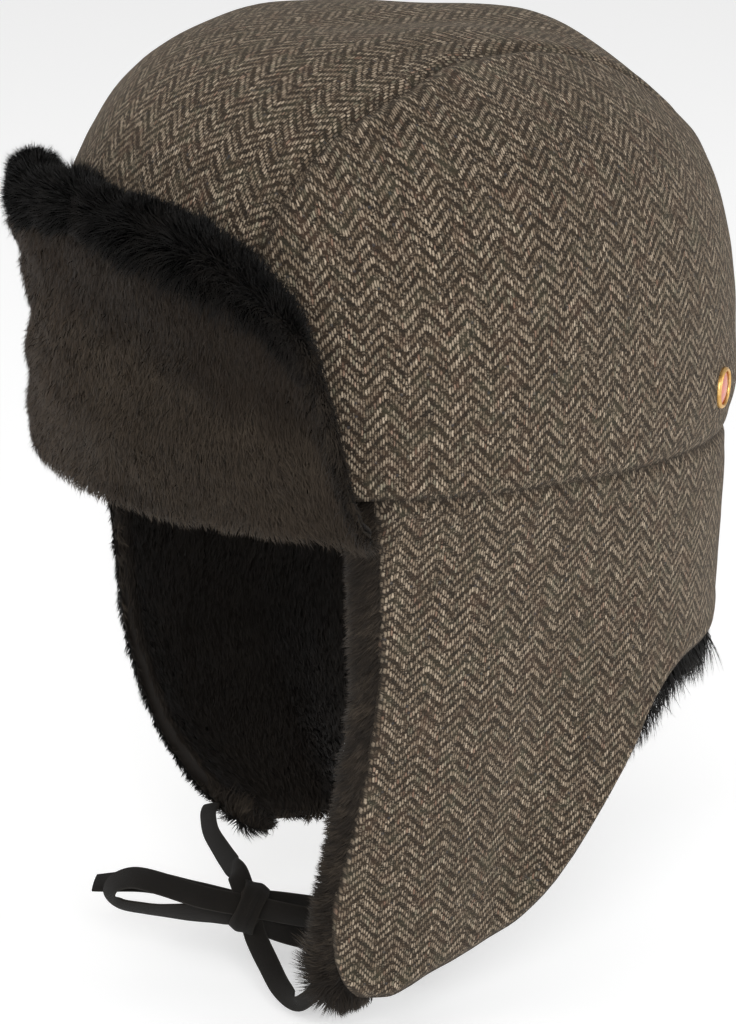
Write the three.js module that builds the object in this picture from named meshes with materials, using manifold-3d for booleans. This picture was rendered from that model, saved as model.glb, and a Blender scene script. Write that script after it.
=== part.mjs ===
// An aviator hat of herringbone tweed with a fur lining, a folded-up fur front flap
// and ear flaps tied in a bow under the chin. Millimetres, +Z up, the front is -Y and
// the wearer's left is +X. The origin is the middle of the head opening, at brow height.
import * as THREE from 'three';
import { mergeVertices } from 'three/addons/utils/BufferGeometryUtils.js';
import Module from 'manifold-3d';

const wasm = await Module();
wasm.setup();

// Driving dimensions
const HALF_WIDTH = 96;
const FRONT_REACH = 98;
const BACK_REACH = 116;
const PLAN_POWER = 2.07;
const CROWN_HEIGHT = 120;
const CLOTH = 2;
const GAP = 0.3;
const LINING_OUTER = CLOTH + 0.9;
const PILE = 8.5;
const CROWN_PILE = 6;
const TRIM_REACH = 4;
const TRIM_DROP = 3;
const RIBBON_WIDTH = 7.5;
const RIBBON_THICKNESS = 1;
const BADGE_RADIUS = 6.3;

const DEG = Math.PI / 180;
const LEFT = 1;
const RIGHT = -1;

// Crown rim: azimuth from the front, seam height, bulge above the seam, roundness
// of the dome (higher is squarer), inward lean of the ear flap per mm of drop
const RIM = [
  { azimuth: 0, seam: -1, bulge: -2, square: 3.1, lean: 0.18 },
  { azimuth: 55, seam: -1, bulge: 0, square: 2.95, lean: 0.18 },
  { azimuth: 90, seam: -2, bulge: 4.6, square: 2.67, lean: 0.21 },
  { azimuth: 120, seam: -5.5, bulge: 6.6, square: 2.5, lean: 0.07 },
  { azimuth: 150, seam: -10, bulge: 8.6, square: 2.34, lean: 0.03 },
  { azimuth: 180, seam: -10.5, bulge: 8.6, square: 2.34, lean: -0.02 },
];

// Half width of the panel that runs over the crown from front to back
const PANEL = [
  { y: -130, half: 50 },
  { y: -75, half: 54 },
  { y: -32, half: 57 },
  { y: -5, half: 51 },
  { y: 30, half: 45 },
  { y: 80, half: 39 },
  { y: 130, half: 34 },
];

// Front edge of an ear flap: azimuth at each drop below the seam
const FLAP_FRONT = [
  { drop: 0, azimuth: 56 },
  { drop: 55, azimuth: 57 },
  { drop: 85, azimuth: 54.8 },
  { drop: 125, azimuth: 48.8 },
  { drop: 142, azimuth: 46 },
  { drop: 175, azimuth: 46.8 },
];

// Lower edge, from the flap's front corner round to the centre of the neck
const FLAP_LOWER = [
  { azimuth: 45, drop: 148 },
  { azimuth: 46.5, drop: 158 },
  { azimuth: 49, drop: 166 },
  { azimuth: 53, drop: 170 },
  { azimuth: 60, drop: 170 },
  { azimuth: 66, drop: 167.3 },
  { azimuth: 72, drop: 164 },
  { azimuth: 80, drop: 161.5 },
  { azimuth: 90, drop: 157.5 },
  { azimuth: 96, drop: 153 },
  { azimuth: 102, drop: 142 },
  { azimuth: 108, drop: 123.5 },
  { azimuth: 114, drop: 102 },
  { azimuth: 120, drop: 81 },
  { azimuth: 126, drop: 71 },
  { azimuth: 134, drop: 67.2 },
  { azimuth: 144, drop: 67 },
  { azimuth: 160, drop: 65.5 },
  { azimuth: 180, drop: 64 },
];

// The same on the right, where the flap hangs lower behind
const FLAP_LOWER_RIGHT = [
  { azimuth: 45, drop: 146 },
  { azimuth: 46.5, drop: 155 },
  { azimuth: 49, drop: 161 },
  { azimuth: 53, drop: 165 },
  { azimuth: 66, drop: 167 },
  { azimuth: 80, drop: 168 },
  { azimuth: 90, drop: 167 },
  { azimuth: 100, drop: 165.5 },
  { azimuth: 108, drop: 159 },
  { azimuth: 114, drop: 146 },
  { azimuth: 120, drop: 126 },
  { azimuth: 126, drop: 103 },
  { azimuth: 132, drop: 85 },
  { azimuth: 140, drop: 72 },
  { azimuth: 155, drop: 66 },
  { azimuth: 180, drop: 64 },
];

// The right flap bellies out, and its tip is drawn in and up by its tie
const RIGHT_CURL = [
  { drop: 0, inward: 0, raise: 0 },
  { drop: 40, inward: -3, raise: 0 },
  { drop: 75, inward: -5, raise: 0 },
  { drop: 110, inward: 1, raise: 1 },
  { drop: 140, inward: 13, raise: 7 },
  { drop: 178, inward: 34, raise: 21 },
];

// Front flap: heights of its lower and upper edges at each azimuth
const BROW = [
  { azimuth: 0, low: -12, high: 82 },
  { azimuth: 20, low: -12.5, high: 79 },
  { azimuth: 35, low: -12.5, high: 68.5 },
  { azimuth: 43, low: -12.2, high: 55 },
  { azimuth: 46, low: -12, high: 46 },
  { azimuth: 48, low: -11.8, high: 36 },
  { azimuth: 50, low: -11.5, high: 23 },
  { azimuth: 52, low: -11.2, high: 8 },
  { azimuth: 54, low: -11, high: -5 },
  { azimuth: 55.5, low: -11, high: -8 },
];

// Its section: share of the height, stand-off of the face from the rim, thickness
const BROW_SECTION = [
  { share: 0, face: 3.5, thick: 2.5 },
  { share: 0.07, face: 6, thick: 5.2 },
  { share: 0.3, face: 7.5, thick: 6.7 },
  { share: 0.6, face: 8.5, thick: 7.6 },
  { share: 0.8, face: 11.5, thick: 10.2 },
  { share: 0.93, face: 13, thick: 11.4 },
  { share: 1, face: 10, thick: 6 },
];

// The bow under the chin: its knot, and the way its broad side faces
const KNOT = new THREE.Vector3(4, -49, -157.5);
const BOW_TURN = 55.5 * DEG;
const BOW_TILT = 16.6 * DEG;
const KNOT_SIZE = { across: 4.6, up: 8.2, out: 3.6 };

// Ribbon routes in the bow's own axes from the knot: across, up and out, and the
// ribbon's twist about its route in degrees
const RIBBONS = {
  tie_right: [
    [-13.6, 28.6, -30.2, 50],
    [-14.6, 25.2, -27.8, 45],
    [-13.4, 20.6, -23, 35],
    [-9.6, 15.6, -16, 20],
    [-6, 12, -8.5, 8],
    [-3.6, 10, -1.6, 0],
  ],
  tie_left: [
    [1.8, -8.6, 0.6, 0],
    [6.2, -17.2, 5, 5],
    [10.2, -23.6, 10, 10],
    [15, -27.2, 15, 30],
    [19.4, -24.6, 19.5, 40],
    [23.8, -19.2, 25, 30],
  ],
  bow_loop_right: [
    [-4.7, 1.4, 1.2, 10],
    [-15.3, 3.4, 0, 12],
    [-28, 6.8, -4, 18],
    [-37, 8.2, -8, 30],
    [-43.4, 6, -12, 45],
    [-45.4, 1.8, -15, 55],
    [-42, -1.8, -16.5, 55],
    [-34, -2.9, -14, 50],
    [-23, -3, -8.6, 40],
    [-13, -2.6, -4, 25],
    [-5.8, -2.4, -1, 10],
  ],
  bow_tail_right: [
    [-3.6, 0.8, -3.6, 10],
    [-18, 3, -11.2, 15],
    [-34, 5.2, -19, 20],
    [-51, 3.9, -25, 50],
  ],
  bow_loop_left: [
    [4.4, -0.2, 1.8, 0],
    [14, -1.8, 3.5, 5],
    [27, -4, 4, 15],
    [36, -7, 1, 40],
    [39.5, -10, -3.5, 60],
    [35, -12.6, -7, 50],
    [24, -11.8, -6.5, 30],
    [12, -8.8, -3.4, 12],
    [4.8, -5.4, -0.8, 5],
  ],
  bow_tail_left: [
    [3.8, 1.4, -3.2, 0],
    [16, -0.9, -9, 5],
    [30, -4.6, -15, 10],
    [44, -10, -18, 20],
  ],
};

const COLOURS = {
  tweed: { color: 0x60564a, roughness: 0.95 },
  fur: { color: 0x1c1815, roughness: 0.9 },
  frontFur: { color: 0x322d28, roughness: 0.9 },
  ribbon: { color: 0x221e1a, roughness: 0.85 },
  gilt: { color: 0xc08a3a, roughness: 0.3, metalness: 1 },
  enamel: { color: 0xb04a2c, roughness: 0.3 },
};

// A smooth curve through one column of a table, with no overshoot between rows
function curve(rows, key, column) {
  const slopes = rows.slice(1).map((row, i) => (row[column] - rows[i][column]) / (row[key] - rows[i][key]));
  const last = rows.length - 1;
  const tangents = rows.map((row, i) => {
    if (i === 0) return slopes[0];
    if (i === last) return slopes[last - 1];
    const [a, b] = [slopes[i - 1], slopes[i]];
    return a * b <= 0 ? 0 : (2 * a * b) / (a + b);
  });
  return (x) => {
    let i = 0;
    while (i < last - 1 && x > rows[i + 1][key]) i += 1;
    const step = rows[i + 1][key] - rows[i][key];
    const s = Math.min(1, Math.max(0, (x - rows[i][key]) / step));
    const rise = s * s * (3 - 2 * s);
    const start = s * (1 - s) * (1 - s) * step * tangents[i];
    const end = s * s * (s - 1) * step * tangents[i + 1];
    return rows[i][column] * (1 - rise) + rows[i + 1][column] * rise + start + end;
  };
}

const seamHeight = curve(RIM, 'azimuth', 'seam');
const bulge = curve(RIM, 'azimuth', 'bulge');
const square = curve(RIM, 'azimuth', 'square');
const lean = curve(RIM, 'azimuth', 'lean');
const panelHalf = curve(PANEL, 'y', 'half');
const frontAzimuth = curve(FLAP_FRONT, 'drop', 'azimuth');
const lowerDrop = {
  [LEFT]: curve(FLAP_LOWER, 'azimuth', 'drop'),
  [RIGHT]: curve(FLAP_LOWER_RIGHT, 'azimuth', 'drop'),
};
const curlInward = curve(RIGHT_CURL, 'drop', 'inward');
const curlRaise = curve(RIGHT_CURL, 'drop', 'raise');
const browLow = curve(BROW, 'azimuth', 'low');
const browHigh = curve(BROW, 'azimuth', 'high');
const browFace = curve(BROW_SECTION, 'share', 'face');
const browThick = curve(BROW_SECTION, 'share', 'thick');

function planRadius(azimuth) {
  const reach = Math.cos(azimuth * DEG) > 0 ? FRONT_REACH : BACK_REACH;
  const side = (Math.abs(Math.sin(azimuth * DEG)) / HALF_WIDTH) ** PLAN_POWER;
  const ahead = (Math.abs(Math.cos(azimuth * DEG)) / reach) ** PLAN_POWER;
  return 1 / (side + ahead) ** (1 / PLAN_POWER);
}

function polar(azimuth, radius, z) {
  const a = azimuth * DEG;
  return new THREE.Vector3(radius * Math.sin(a), -radius * Math.cos(a), z);
}

// A point on the dome: lift runs from 0 at the seam to 1 at the top
function crownPoint(azimuth, lift, inset) {
  const a = Math.abs(azimuth);
  const power = 2 / square(a);
  const out = Math.cos((lift * Math.PI) / 2) ** power;
  const up = Math.sin((lift * Math.PI) / 2) ** power;
  const radius = (planRadius(azimuth) - inset) * out + bulge(a) * Math.sin(lift * Math.PI);
  const bottom = seamHeight(a) + GAP / 2;
  return polar(azimuth, Math.max(0, radius), bottom + (CROWN_HEIGHT - inset - bottom) * up);
}

// A point on the outer face of an ear flap or the neck, at a drop below the seam
function flapFace(side, azimuth, drop) {
  const near = THREE.MathUtils.smoothstep(150 - azimuth, 0, 62);
  const curl = side === RIGHT ? near : 0;
  const radius = planRadius(azimuth) - lean(azimuth) * drop - curl * curlInward(drop);
  const z = seamHeight(azimuth) - GAP / 2 - drop + curl * curlRaise(drop);
  return polar(side * azimuth, radius, z);
}

// The same, set inwards: level at the seam, square to the cloth further down
function flapPoint(side, azimuth, drop, inset) {
  const point = flapFace(side, azimuth, drop);
  const around = flapFace(side, azimuth + 1, drop).sub(flapFace(side, azimuth - 1, drop));
  const down = flapFace(side, azimuth, drop + 1).sub(flapFace(side, azimuth, Math.max(0, drop - 1)));
  const normal = down.cross(around).multiplyScalar(side).normalize();
  normal.z *= THREE.MathUtils.smoothstep(drop, 0, 60);
  return point.addScaledVector(normal.normalize(), -inset);
}

// The same point from shares: u from the front edge to the centre back, t downwards
function flapSurface(side, inset, reach, extra) {
  return (u, t) => {
    const back = 180 - (GAP / 2 + inset * 0.05) / BACK_REACH / DEG;
    let azimuth = 60;
    let drop = 0;
    for (let pass = 0; pass < 6; pass += 1) {
      azimuth = THREE.MathUtils.lerp(frontAzimuth(drop) - reach, back, u ** 1.3);
      drop = t * (lowerDrop[side](azimuth + reach * (1 - u)) + extra);
    }
    return flapPoint(side, azimuth, drop, inset);
  };
}

// The front flap's face or its back, from the right end to the left
function browSurface(onBack) {
  return (u, t) => {
    const end = BROW[BROW.length - 1].azimuth;
    const azimuth = THREE.MathUtils.lerp(-end, end, u);
    const a = Math.abs(azimuth);
    const radius = planRadius(azimuth) + browFace(t) - (onBack ? browThick(t) : 0);
    return polar(azimuth, radius, THREE.MathUtils.lerp(browLow(a), browHigh(a), t));
  };
}

// A body from points and triangles, turned so that its faces point out
function body(points, triangles) {
  const position = points.flatMap((p) => [p.x, p.y, p.z]);
  let volume = 0;
  for (const [a, b, c] of triangles) {
    volume += points[a].dot(points[b].clone().cross(points[c]));
  }
  const index = triangles.flatMap(([a, b, c]) => (volume > 0 ? [a, b, c] : [a, c, b]));
  const geometry = new THREE.BufferGeometry();
  geometry.setAttribute('position', new THREE.Float32BufferAttribute(position, 3));
  geometry.setIndex(index);
  return geometry;
}

// A closed wall between two surfaces over the same shares
function wall(outer, inner, columns, rows) {
  const points = [];
  const triangles = [];
  const at = (layer, i, j) => layer * (columns + 1) * (rows + 1) + j * (columns + 1) + i;
  const quad = (a, b, c, d) => triangles.push([a, b, c], [a, c, d]);
  for (const surface of [outer, inner]) {
    for (let j = 0; j <= rows; j += 1) {
      for (let i = 0; i <= columns; i += 1) points.push(surface(i / columns, j / rows));
    }
  }
  for (let j = 0; j < rows; j += 1) {
    for (let i = 0; i < columns; i += 1) {
      quad(at(0, i, j), at(0, i + 1, j), at(0, i + 1, j + 1), at(0, i, j + 1));
      quad(at(1, i, j), at(1, i, j + 1), at(1, i + 1, j + 1), at(1, i + 1, j));
    }
    quad(at(0, 0, j), at(0, 0, j + 1), at(1, 0, j + 1), at(1, 0, j));
    quad(at(0, columns, j + 1), at(0, columns, j), at(1, columns, j), at(1, columns, j + 1));
  }
  for (let i = 0; i < columns; i += 1) {
    quad(at(0, i + 1, 0), at(0, i, 0), at(1, i, 0), at(1, i + 1, 0));
    quad(at(0, i, rows), at(0, i + 1, rows), at(1, i + 1, rows), at(1, i, rows));
  }
  return body(points, triangles);
}

// A closed dome between two insets, open below
function dome(outset, inset, around, up) {
  const points = [];
  const triangles = [];
  const ring = (layer, j, i) => (layer * up + j) * around + (i % around);
  for (const depth of [outset, inset]) {
    for (let j = 0; j < up; j += 1) {
      for (let i = 0; i < around; i += 1) {
        points.push(crownPoint((i / around) * 360 - 180, j / up, depth));
      }
    }
  }
  const poles = [points.length, points.length + 1];
  points.push(polar(0, 0, CROWN_HEIGHT - outset), polar(0, 0, CROWN_HEIGHT - inset));
  for (let i = 0; i < around; i += 1) {
    for (let j = 0; j < up - 1; j += 1) {
      const [a, b, c, d] = [ring(0, j, i), ring(0, j, i + 1), ring(0, j + 1, i + 1), ring(0, j + 1, i)];
      triangles.push([a, b, c], [a, c, d]);
      const [e, f, g, h] = [ring(1, j, i), ring(1, j, i + 1), ring(1, j + 1, i + 1), ring(1, j + 1, i)];
      triangles.push([e, g, f], [e, h, g]);
    }
    triangles.push([ring(0, up - 1, i), ring(0, up - 1, i + 1), poles[0]]);
    triangles.push([ring(1, up - 1, i + 1), ring(1, up - 1, i), poles[1]]);
    triangles.push([ring(0, 0, i + 1), ring(0, 0, i), ring(1, 0, i)]);
    triangles.push([ring(0, 0, i + 1), ring(1, 0, i), ring(1, 0, i + 1)]);
  }
  return body(points, triangles);
}

function toSolid(geometry) {
  const bare = geometry.clone();
  bare.deleteAttribute('normal');
  bare.deleteAttribute('uv');
  const merged = mergeVertices(bare);
  const vertProperties = new Float32Array(merged.attributes.position.array);
  const triVerts = new Uint32Array(merged.index.array);
  return new wasm.Manifold(new wasm.Mesh({ numProp: 3, vertProperties, triVerts }));
}

function toGeometry(solid) {
  const mesh = solid.getMesh();
  const geometry = new THREE.BufferGeometry();
  geometry.setAttribute('position', new THREE.BufferAttribute(mesh.vertProperties, 3));
  geometry.setIndex(new THREE.BufferAttribute(mesh.triVerts, 1));
  return geometry;
}

// The upright prism that cuts one panel out of the dome
function panelCutter(side) {
  const steps = 24;
  const far = 150;
  const edge = (sign, inset) => Array.from({ length: steps + 1 }, (_, i) => {
    const y = THREE.MathUtils.lerp(-130, 130, i / steps);
    return new THREE.Vector2(sign * (panelHalf(y) + inset), y);
  });
  const outline = side === 0
    ? [...edge(1, -GAP / 2), ...edge(-1, -GAP / 2).reverse()]
    : [...edge(side, GAP / 2), new THREE.Vector2(side * far, 130), new THREE.Vector2(side * far, -130)];
  const geometry = new THREE.ExtrudeGeometry(new THREE.Shape(outline), { depth: 200, bevelEnabled: false });
  geometry.translate(0, 0, -40);
  return toSolid(geometry);
}

function crownPanel(side) {
  return toGeometry(toSolid(dome(0, CLOTH, 48, 10)).intersect(panelCutter(side)));
}

function earFlap(side) {
  return wall(flapSurface(side, 0, 0, 0), flapSurface(side, CLOTH, 0, 0), 28, 13);
}

function flapLining(side) {
  const outer = flapSurface(side, LINING_OUTER, TRIM_REACH, TRIM_DROP);
  const inner = flapSurface(side, LINING_OUTER + PILE, TRIM_REACH, TRIM_DROP);
  return wall(outer, inner, 28, 13);
}

// From the bow's axes to the hat's
function bowPoint(across, up, out) {
  const turn = new THREE.Euler(-BOW_TILT, 0, BOW_TURN, 'ZXY');
  return new THREE.Vector3(across, -out, up).applyEuler(turn).add(KNOT);
}

// A flat ribbon along a route, its broad side turned by the route's twist
function ribbon(rows) {
  const path = new THREE.CatmullRomCurve3(rows.map(([a, u, o]) => bowPoint(a, u, o)));
  const facing = bowPoint(0, 0, 1).sub(KNOT);
  const steps = rows.length * 3;
  const points = [];
  const triangles = [];
  for (let i = 0; i <= steps; i += 1) {
    const middle = path.getPoint(i / steps);
    const along = path.getTangent(i / steps);
    const place = (i / steps) * (rows.length - 1);
    const row = Math.min(rows.length - 2, Math.floor(place));
    const twist = THREE.MathUtils.lerp(rows[row][3], rows[row + 1][3], place - row) * DEG;
    const across = along.clone().cross(facing).normalize().applyAxisAngle(along, twist);
    const normal = across.clone().cross(along).normalize();
    for (const [w, n] of [[-1, -1], [1, -1], [1, 1], [-1, 1]]) {
      points.push(middle.clone()
        .addScaledVector(across, (w * RIBBON_WIDTH) / 2)
        .addScaledVector(normal, (n * RIBBON_THICKNESS) / 2));
    }
    for (let k = 0; i > 0 && k < 4; k += 1) {
      const [a, b] = [4 * (i - 1) + k, 4 * (i - 1) + ((k + 1) % 4)];
      triangles.push([a, b, b + 4], [a, b + 4, a + 4]);
    }
  }
  const end = 4 * steps;
  triangles.push([0, 2, 1], [0, 3, 2], [end, end + 1, end + 2], [end, end + 2, end + 3]);
  return body(points, triangles);
}

function bowKnot() {
  const geometry = new THREE.SphereGeometry(1, 20, 14);
  geometry.scale(KNOT_SIZE.across, KNOT_SIZE.out, KNOT_SIZE.up);
  return geometry;
}

// A turned profile of radius and height, as a closed ring or button
function turned(profile) {
  return new THREE.LatheGeometry(profile.map(([r, h]) => new THREE.Vector2(r, h)), 32);
}

const group = new THREE.Group();

function add(name, geometry, material) {
  const mesh = new THREE.Mesh(geometry, new THREE.MeshStandardMaterial(COLOURS[material]));
  mesh.name = name;
  group.add(mesh);
  return mesh;
}

add('crown_center_panel', crownPanel(0), 'tweed');
add('crown_side_left', crownPanel(LEFT), 'tweed');
add('crown_side_right', crownPanel(RIGHT), 'tweed');
add('crown_lining', dome(LINING_OUTER, LINING_OUTER + CROWN_PILE, 48, 7), 'fur');
for (const [name, side] of [['left', LEFT], ['right', RIGHT]]) {
  add(`ear_flap_${name}`, earFlap(side), 'tweed');
  add(`flap_lining_${name}`, flapLining(side), 'fur');
}
add('front_flap', wall(browSurface(false), browSurface(true), 24, 8), 'frontFur');

for (const [name, rows] of Object.entries(RIBBONS)) add(name, ribbon(rows), 'ribbon');
const knot = add('bow_knot', bowKnot(), 'ribbon');
knot.position.copy(KNOT);
knot.rotation.set(-BOW_TILT, 0, BOW_TURN, 'ZXY');

// The stud on the left side of the back: a rim round an enamel button
const studAt = crownPoint(134, 0.06, 0);
const studAbove = crownPoint(134, 0.1, 0).sub(studAt);
const studBeside = crownPoint(138, 0.06, 0).sub(studAt);
const studNormal = studBeside.cross(studAbove).normalize();
const stud = new THREE.Group();
stud.position.copy(studAt).addScaledVector(studNormal, GAP);
stud.quaternion.setFromUnitVectors(new THREE.Vector3(0, 1, 0), studNormal);
group.add(stud);
const inner = BADGE_RADIUS - 1.2;
const rim = [[inner, 0], [BADGE_RADIUS, 0], [BADGE_RADIUS, 1.4], [BADGE_RADIUS - 0.6, 2], [inner, 1.7], [inner, 0]];
const face = [[0, 0], [inner - GAP, 0], [inner - GAP, 1.2], [2.4, 1.6], [0, 1.7]];
stud.add(add('badge_rim', turned(rim), 'gilt'));
stud.add(add('badge_face', turned(face), 'enamel'));

export default group;
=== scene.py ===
import itertools
import math

import bmesh
import bpy
import numpy as np
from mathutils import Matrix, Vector
from mathutils.kdtree import KDTree


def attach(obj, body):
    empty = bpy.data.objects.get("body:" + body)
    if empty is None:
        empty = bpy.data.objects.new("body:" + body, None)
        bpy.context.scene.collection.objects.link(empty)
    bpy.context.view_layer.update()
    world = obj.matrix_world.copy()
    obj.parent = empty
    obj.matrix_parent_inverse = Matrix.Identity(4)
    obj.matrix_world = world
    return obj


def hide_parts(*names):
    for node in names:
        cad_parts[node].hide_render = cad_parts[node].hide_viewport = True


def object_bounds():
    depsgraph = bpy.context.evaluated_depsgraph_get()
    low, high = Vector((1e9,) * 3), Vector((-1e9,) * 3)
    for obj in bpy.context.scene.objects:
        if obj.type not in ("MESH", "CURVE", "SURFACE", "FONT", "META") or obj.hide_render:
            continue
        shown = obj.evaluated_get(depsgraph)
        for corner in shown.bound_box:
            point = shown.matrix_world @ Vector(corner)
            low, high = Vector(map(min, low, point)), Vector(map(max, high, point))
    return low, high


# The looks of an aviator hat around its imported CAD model. Surfaces are worked out in
# millimetres from the same tables as the CAD, and meshes are made in metres.

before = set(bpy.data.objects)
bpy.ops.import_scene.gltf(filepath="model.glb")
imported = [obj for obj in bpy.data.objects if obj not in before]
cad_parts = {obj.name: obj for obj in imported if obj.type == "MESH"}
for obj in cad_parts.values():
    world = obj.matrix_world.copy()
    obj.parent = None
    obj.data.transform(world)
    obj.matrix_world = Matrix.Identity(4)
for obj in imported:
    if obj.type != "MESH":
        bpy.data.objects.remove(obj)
cad_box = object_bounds()

MM = 0.001

# Driving dimensions, as in the CAD
HALF_WIDTH = 96
FRONT_REACH = 98
BACK_REACH = 116
PLAN_POWER = 2.07
CROWN_HEIGHT = 120
CLOTH = 2
LINING_OUTER = 2.9
TRIM_REACH = 4
RIBBON_WIDTH = 7.5
RIBBON_THICKNESS = 1
BADGE_RADIUS = 6.3
LEFT = 1
RIGHT = -1

# azimuth, seam height, bulge above the seam, roundness of the dome, lean of the flap
RIM = [
    (0, -1, -2, 3.1, 0.18),
    (55, -1, 0, 2.95, 0.18),
    (90, -2, 4.6, 2.67, 0.21),
    (120, -5.5, 6.6, 2.5, 0.07),
    (150, -10, 8.6, 2.34, 0.03),
    (180, -10.5, 8.6, 2.34, -0.02),
]
# y, half width of the panel that runs over the crown
PANEL = [(-130, 50), (-75, 54), (-32, 57), (-5, 51), (30, 45), (80, 39), (130, 34)]
# drop below the seam, azimuth of the flap's front edge
FLAP_FRONT = [(0, 56), (55, 57), (85, 54.8), (125, 48.8), (142, 46), (175, 46.8)]
# azimuth, drop of the lower edge
FLAP_LOWER = [
    (45, 148), (46.5, 158), (49, 166), (53, 170), (60, 170), (66, 167.3), (72, 164),
    (80, 161.5), (90, 157.5), (96, 153), (102, 142), (108, 123.5), (114, 102), (120, 81),
    (126, 71), (134, 67.2), (144, 67), (160, 65.5), (180, 64),
]
# the same on the right, where the flap hangs lower behind
FLAP_LOWER_RIGHT = [
    (45, 146), (46.5, 155), (49, 161), (53, 165), (66, 167), (80, 168), (90, 167), (100, 165.5),
    (108, 159), (114, 146), (120, 126), (126, 103), (132, 85), (140, 72), (155, 66), (180, 64),
]
# drop, how far the right flap goes in, how far it is drawn up
RIGHT_CURL = [
    (0, 0, 0), (40, -3, 0), (75, -5, 0), (110, 1, 1), (140, 13, 7), (178, 34, 21),
]
# azimuth, lower edge and upper edge of the front flap
BROW = [
    (0, -12, 82), (20, -12.5, 79), (35, -12.5, 68.5), (43, -12.2, 55), (46, -12, 46),
    (48, -11.8, 36), (50, -11.5, 23), (52, -11.2, 8), (54, -11, -5), (55.5, -11, -8),
]
# share of the height, stand-off of the face, thickness
BROW_SECTION = [
    (0, 3.5, 2.5), (0.07, 6, 5.2), (0.3, 7.5, 6.7), (0.6, 8.5, 7.6), (0.8, 11.5, 10.2),
    (0.93, 13, 11.4), (1, 10, 6),
]

# The bow: its knot and the way its broad side faces
KNOT = np.array([4, -49, -157.5])
BOW_TURN = math.radians(55.5)
BOW_TILT = math.radians(16.6)
# Each ribbon: its far end, how it lies, and its route in the bow's own axes
# (across, up, out, twist in degrees)
RIBBONS = {
    "tie_right": ("knot", "hanging", [
        (-13.6, 28.6, -30.2, 50), (-14.6, 25.2, -27.8, 45), (-13.4, 20.6, -23, 35),
        (-9.6, 15.6, -16, 20), (-6, 12, -8.5, 8), (-3.6, 10, -1.6, 0),
    ]),
    "tie_left": ("knot", "hanging", [
        (1.8, -8.6, 0.6, 0), (6.2, -17.2, 5, 5), (10.2, -23.6, 10, 10),
        (15, -27.2, 15, 30), (19.4, -24.6, 19.5, 40), (23.8, -19.2, 25, 30),
    ]),
    "bow_loop_right": ("object", "loose", [
        (-4.7, 1.4, 1.2, 10), (-15.3, 3.4, 0, 12), (-28, 6.8, -4, 18), (-37, 8.2, -8, 30),
        (-43.4, 6, -12, 45), (-45.4, 1.8, -15, 55), (-42, -1.8, -16.5, 55),
        (-34, -2.9, -14, 50), (-23, -3, -8.6, 40), (-13, -2.6, -4, 25), (-5.8, -2.4, -1, 10),
    ]),
    "bow_tail_right": ("bare", "loose", [
        (-3.6, 0.8, -3.6, 10), (-18, 3, -11.2, 15), (-34, 5.2, -19, 20), (-51, 3.9, -25, 50),
    ]),
    "bow_loop_left": ("object", "loose", [
        (4.4, -0.2, 1.8, 0), (14, -1.8, 3.5, 5), (27, -4, 4, 15), (36, -7, 1, 40),
        (39.5, -10, -3.5, 60), (35, -12.6, -7, 50), (24, -11.8, -6.5, 30),
        (12, -8.8, -3.4, 12), (4.8, -5.4, -0.8, 5),
    ]),
    "bow_tail_left": ("bare", "loose", [
        (3.8, 1.4, -3.2, 0), (16, -0.9, -9, 5), (30, -4.6, -15, 10), (44, -10, -18, 20),
    ]),
}


# ---------------- the camera

CAMERA_AT = (0.72894, -0.50186, 0.26315)
CAMERA_AIM = (0.00873, -0.00701, -0.03296)
CAMERA_LENS = 70.34


def aimed(name, data, place, target):
    """A camera or a light at a place, looking at a target."""
    thing = bpy.data.objects.new(name, data)
    bpy.context.scene.collection.objects.link(thing)
    thing.location = place
    thing.rotation_euler = (Vector(target) - Vector(place)).to_track_quat("-Z", "Y").to_euler()
    return thing


def make_camera():
    data = bpy.data.cameras.new("camera")
    data.sensor_fit = "VERTICAL"
    data.sensor_height = 24
    data.lens = CAMERA_LENS
    data.clip_start = 0.05
    bpy.context.scene.camera = aimed("camera", data, CAMERA_AT, CAMERA_AIM)


make_camera()


# ---------------- numbers

def curve(rows, column):
    """A smooth curve through one column of a table, with no overshoot between rows."""
    x = np.array([row[0] for row in rows], float)
    y = np.array([row[column] for row in rows], float)
    slopes = np.diff(y) / np.diff(x)
    before, after = slopes[:-1], slopes[1:]
    total = np.where(before + after == 0, 1, before + after)
    middle = np.where(before * after <= 0, 0, 2 * before * after / total)
    tangents = np.concatenate([slopes[:1], middle, slopes[-1:]])

    def at(value):
        i = np.clip(np.searchsorted(x, value) - 1, 0, len(x) - 2)
        step = x[i + 1] - x[i]
        s = np.clip((value - x[i]) / step, 0, 1)
        rise = s * s * (3 - 2 * s)
        start = s * (1 - s) ** 2 * step * tangents[i]
        end = s * s * (s - 1) * step * tangents[i + 1]
        return y[i] * (1 - rise) + y[i + 1] * rise + start + end

    return at


seam_height, bulge, square, lean = (curve(RIM, k) for k in (1, 2, 3, 4))
panel_half = curve(PANEL, 1)
front_azimuth = curve(FLAP_FRONT, 1)
lower_left, lower_right = curve(FLAP_LOWER, 1), curve(FLAP_LOWER_RIGHT, 1)
curl_inward, curl_raise = (curve(RIGHT_CURL, k) for k in (1, 2))
brow_low, brow_high = (curve(BROW, k) for k in (1, 2))
brow_face, brow_thick = (curve(BROW_SECTION, k) for k in (1, 2))


def smoothstep(x, low, high):
    s = np.clip((x - low) / (high - low), 0, 1)
    return s * s * (3 - 2 * s)


def bell(x, reach, middle=0):
    """One at the middle, falling away smoothly on either side."""
    return np.exp(-(((x - middle) / reach) ** 2))


def unit(v):
    return v / np.maximum(np.linalg.norm(v, axis=-1, keepdims=True), 1e-9)


def arc_length(points):
    """How far along a line each of its points is."""
    return np.concatenate([[0], np.cumsum(np.linalg.norm(np.diff(points, axis=0), axis=1))])


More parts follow.
